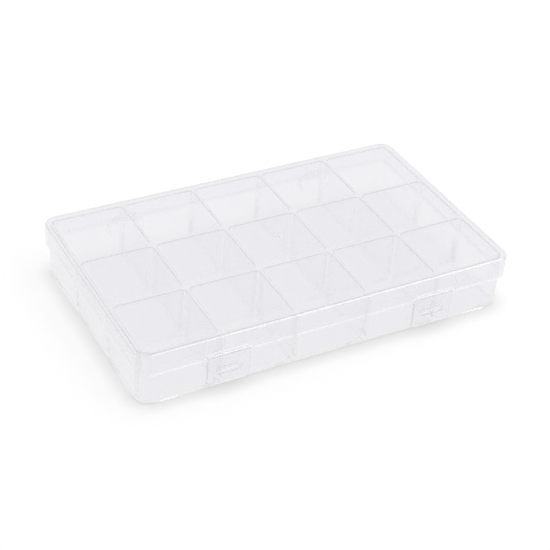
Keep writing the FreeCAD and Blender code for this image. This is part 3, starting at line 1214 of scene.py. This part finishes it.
@dataclass
class Studio:
    """Floor, light and camera."""

    floor_half: float = 4.0
    floor_drop: float = 0.0003
    floor_colour: float = 0.93
    page_through: float = 0.95
    page_direct: float = 0.6
    page_level: float = 0.905
    sky_low: float = 0.82
    sky_high: float = 0.885
    sky_rise: tuple[float, float] = (0.05, 0.45)
    shine_across: tuple[float, float, float] = (0.83, 0.0, -0.557)
    shine_width: tuple[float, float] = (0.3, 0.16)
    shine_back: tuple[float, float] = (0.35, 0.15)
    shine_low: tuple[float, float] = (0.3, 0.5)
    shine_first: float = 3.5
    first_turns: float = 2.5
    shine_inside: float = 1.2
    inside_turns: float = 5.5
    key_size: tuple[float, float] = (0.5, 1.9)
    key_power: float = 14.0
    key_place: tuple[float, float, float] = (0.9, -0.5, 1.8)
    contact_reach: float = 0.012
    contact_shade: float = 0.85
    contact_samples: int = 16
    lens: float = 94.0
    sensor: float = 36.0
    nearest: float = 0.01
    camera_place: tuple[float, float, float] = (-0.4017, -0.6754, 0.5806)
    camera_right: tuple[float, float, float] = (0.88082, -0.46874, 0.06667)
    camera_up: tuple[float, float, float] = (0.22931, 0.54556, 0.80609)
    camera_back: tuple[float, float, float] = (-0.41422, -0.69473, 0.58802)
    ray_depth: int = 64

    def build(self) -> None:
        """Set up the whole studio."""
        scene = bpy.context.scene
        scene.view_settings.view_transform = "Standard"
        scene.cycles.max_bounces = self.ray_depth
        scene.cycles.transmission_bounces = self.ray_depth
        scene.cycles.glossy_bounces = self.ray_depth
        scene.cycles.transparent_max_bounces = self.ray_depth
        scene.cycles.blur_glossy = 0.0
        self.add_floor()
        self.add_sky()
        self.add_key()
        self.add_camera()

    def add_floor(self) -> None:
        """Lay the pale floor just under the box."""
        shape = bmesh.new()
        bmesh.ops.create_grid(shape, x_segments=1, y_segments=1, size=self.floor_half)
        bmesh.ops.translate(shape, vec=(0.0, 0.0, -self.floor_drop), verts=shape.verts)
        mesh = bpy.data.meshes.new("studio_floor")
        shape.to_mesh(mesh)
        shape.free()
        floor = bpy.data.objects.new("studio_floor", mesh)
        bpy.context.scene.collection.objects.link(floor)
        mesh.materials.append(self.floor_material())

    def floor_material(self) -> bpy.types.Material:
        """Matt white that reads as the page where nothing shades it.

        Returns:
            The floor's material.
        """
        material = bpy.data.materials.new("studio_floor")
        material.use_nodes = True
        bench = NodeBench(material.node_tree)
        material.node_tree.nodes.clear()
        matt = bench.add("ShaderNodeBsdfDiffuse")
        near = bench.add("ShaderNodeAmbientOcclusion", samples=self.contact_samples)
        near.inputs["Distance"].default_value = self.contact_reach
        shade = bench.add("ShaderNodeMapRange", clamp=True)
        shade.inputs["To Min"].default_value = self.floor_colour * (1.0 - self.contact_shade)
        shade.inputs["To Max"].default_value = self.floor_colour
        bench.link(near.outputs["AO"], shade.inputs["Value"])
        bench.link(shade.outputs["Result"], matt.inputs["Color"])
        path = bench.add("ShaderNodeLightPath")
        through = bench.math("MAXIMUM", path.outputs["Is Glossy Ray"], path.outputs["Is Transmission Ray"])
        through = bench.math("MULTIPLY", through, self.page_through)
        direct = bench.math("MULTIPLY", path.outputs["Is Camera Ray"], self.page_direct)
        page = bench.add("ShaderNodeEmission")
        page.inputs["Color"].default_value = (1.0, 1.0, 1.0, 1.0)
        seen = bench.math("MAXIMUM", path.outputs["Is Camera Ray"], self.page_level)
        bench.link(seen, page.inputs["Strength"])
        both = bench.add("ShaderNodeMixShader")
        bench.link(bench.math("MAXIMUM", through, direct), both.inputs["Fac"])
        bench.link(matt.outputs["BSDF"], both.inputs[1])
        bench.link(page.outputs["Emission"], both.inputs[2])
        output = bench.add("ShaderNodeOutputMaterial")
        bench.link(both.outputs["Shader"], output.inputs["Surface"])
        return material

    def add_sky(self) -> None:
        """Soft light from all round, dimmer towards the horizon, and white to the camera."""
        world = bpy.data.worlds.new("studio_sky")
        bpy.context.scene.world = world
        world.use_nodes = True
        bench = NodeBench(world.node_tree)
        world.node_tree.nodes.clear()
        place = bench.add("ShaderNodeTexCoord")
        split = bench.add("ShaderNodeSeparateXYZ")
        bench.link(place.outputs["Generated"], split.inputs["Vector"])
        ramp = bench.add("ShaderNodeMapRange", clamp=True)
        ramp.inputs["From Min"].default_value = self.sky_rise[0]
        ramp.inputs["From Max"].default_value = self.sky_rise[1]
        ramp.inputs["To Min"].default_value = self.sky_low
        ramp.inputs["To Max"].default_value = self.sky_high
        bench.link(split.outputs["Z"], ramp.inputs["Value"])
        path = bench.add("ShaderNodeLightPath")
        strip = self.bright_strip(bench, place, split, path)
        level = bench.math("ADD", ramp.outputs["Result"], strip)
        level = bench.math("MAXIMUM", level, path.outputs["Is Camera Ray"])
        sky = bench.add("ShaderNodeBackground")
        sky.inputs["Color"].default_value = (1.0, 1.0, 1.0, 1.0)
        bench.link(level, sky.inputs["Strength"])
        output = bench.add("ShaderNodeOutputWorld")
        bench.link(sky.outputs["Background"], output.inputs["Surface"])

    def bright_strip(
        self, bench: NodeBench, place: bpy.types.Node, split: bpy.types.Node, path: bpy.types.Node
    ) -> bpy.types.NodeSocket:
        """Soft bright strip of the sky that the edges of the plastic mirror.

        Args:
            bench: The sky's nodes.
            place: Node with the direction.
            split: Node with the direction's parts.
            path: Node that tells the kinds of ray apart.

        Returns:
            How much brighter the sky is there.
        """
        aside = bench.add("ShaderNodeVectorMath", operation="DOT_PRODUCT")
        aside.inputs[1].default_value = self.shine_across
        bench.link(place.outputs["Generated"], aside.inputs[0])
        aside = bench.math("ABSOLUTE", aside.outputs["Value"], 0.0)
        strip = bench.ramp(aside, self.shine_width)
        strip = bench.math("MULTIPLY", strip, bench.ramp(split.outputs["Y"], self.shine_back))
        strip = bench.math("MULTIPLY", strip, bench.ramp(split.outputs["Z"], self.shine_low))
        first = bench.math("LESS_THAN", path.outputs["Ray Depth"], self.first_turns)
        first = bench.math("MULTIPLY", first, path.outputs["Is Glossy Ray"])
        first = bench.math("MULTIPLY", first, self.shine_first)
        inside = bench.math("LESS_THAN", path.outputs["Ray Depth"], self.inside_turns)
        inside = bench.math("MULTIPLY", inside, path.outputs["Is Transmission Ray"])
        inside = bench.math("MULTIPLY", inside, self.shine_inside)
        return bench.math("MULTIPLY", strip, bench.math("MAXIMUM", first, inside))

    def add_key(self) -> None:
        """Hang a long soft lamp over the right, which the plastic neither mirrors nor bends."""
        lamp = bpy.data.lights.new("key_softbox", "AREA")
        lamp.shape = "RECTANGLE"
        lamp.size, lamp.size_y = self.key_size
        lamp.energy = self.key_power
        holder = bpy.data.objects.new("key_softbox", lamp)
        holder.location = self.key_place
        tilt = math.atan2(self.key_place[0], self.key_place[2])
        holder.rotation_euler = (0.0, tilt, 0.0)
        holder.visible_transmission = False
        holder.visible_glossy = False
        bpy.context.scene.collection.objects.link(holder)

    def add_camera(self) -> None:
        """Stand the camera where the photograph was taken from."""
        camera = bpy.data.cameras.new("photo_camera")
        camera.lens = self.lens
        camera.sensor_width = self.sensor
        camera.clip_start = self.nearest
        holder = bpy.data.objects.new("photo_camera", camera)
        turn = Matrix((self.camera_right, self.camera_up, self.camera_back)).transposed().to_4x4()
        holder.matrix_world = Matrix.Translation(self.camera_place) @ turn
        bpy.context.scene.collection.objects.link(holder)
        bpy.context.scene.camera = holder


def all_pieces() -> list[BoxPiece]:
    """Every piece of the box, from the tray outwards.

    Returns:
        The pieces, not yet built.
    """
    pieces: list[BoxPiece] = [
        CompartmentTray("tray_moulding", "base", "base_tray", "clear_tray", TRAY_PLASTIC),
        SnapLid("lid_moulding", "lid", "lid", "clear_lid", LID_PLASTIC),
    ]
    for side in Side:
        word = side.word
        latch_x = side.value * LATCH.spacing / 2
        hinge_x = side.value * HINGE.spacing / 2
        pieces.append(
            FlapLatch(
                f"latch_flap_{word}",
                f"latch_{word}",
                f"latch_{word}",
                "clear_latch",
                LATCH_PLASTIC,
                side=side,
            )
        )
        pieces.append(
            PivotPin(
                f"latch_rod_{word}",
                "lid",
                f"latch_pin_{word}",
                "clear_pin",
                PIN_PLASTIC,
                middle=latch_x,
                half_length=LATCH.ear_outer,
                radius=LATCH.pin_radius,
                axis_y=LATCH.axis_y,
                axis_z=LATCH.axis_z,
            )
        )
        pieces.append(
            PivotPin(
                f"hinge_rod_{word}",
                "base",
                f"hinge_pin_{word}",
                "clear_pin",
                PIN_PLASTIC,
                middle=hinge_x,
                half_length=HINGE.tray_far,
                radius=HINGE.pin_radius,
                axis_y=HINGE.axis_y,
                axis_z=HINGE.axis_z,
            )
        )
    return pieces


def main() -> None:
    """Load the frame, build and dress every piece, and set up the studio."""
    logging.basicConfig(level=logging.INFO, format="%(name)s %(message)s")
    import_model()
    for piece in all_pieces():
        piece.build()
        piece.dress()
    Studio().build()


if __name__ == "__main__":
    main()
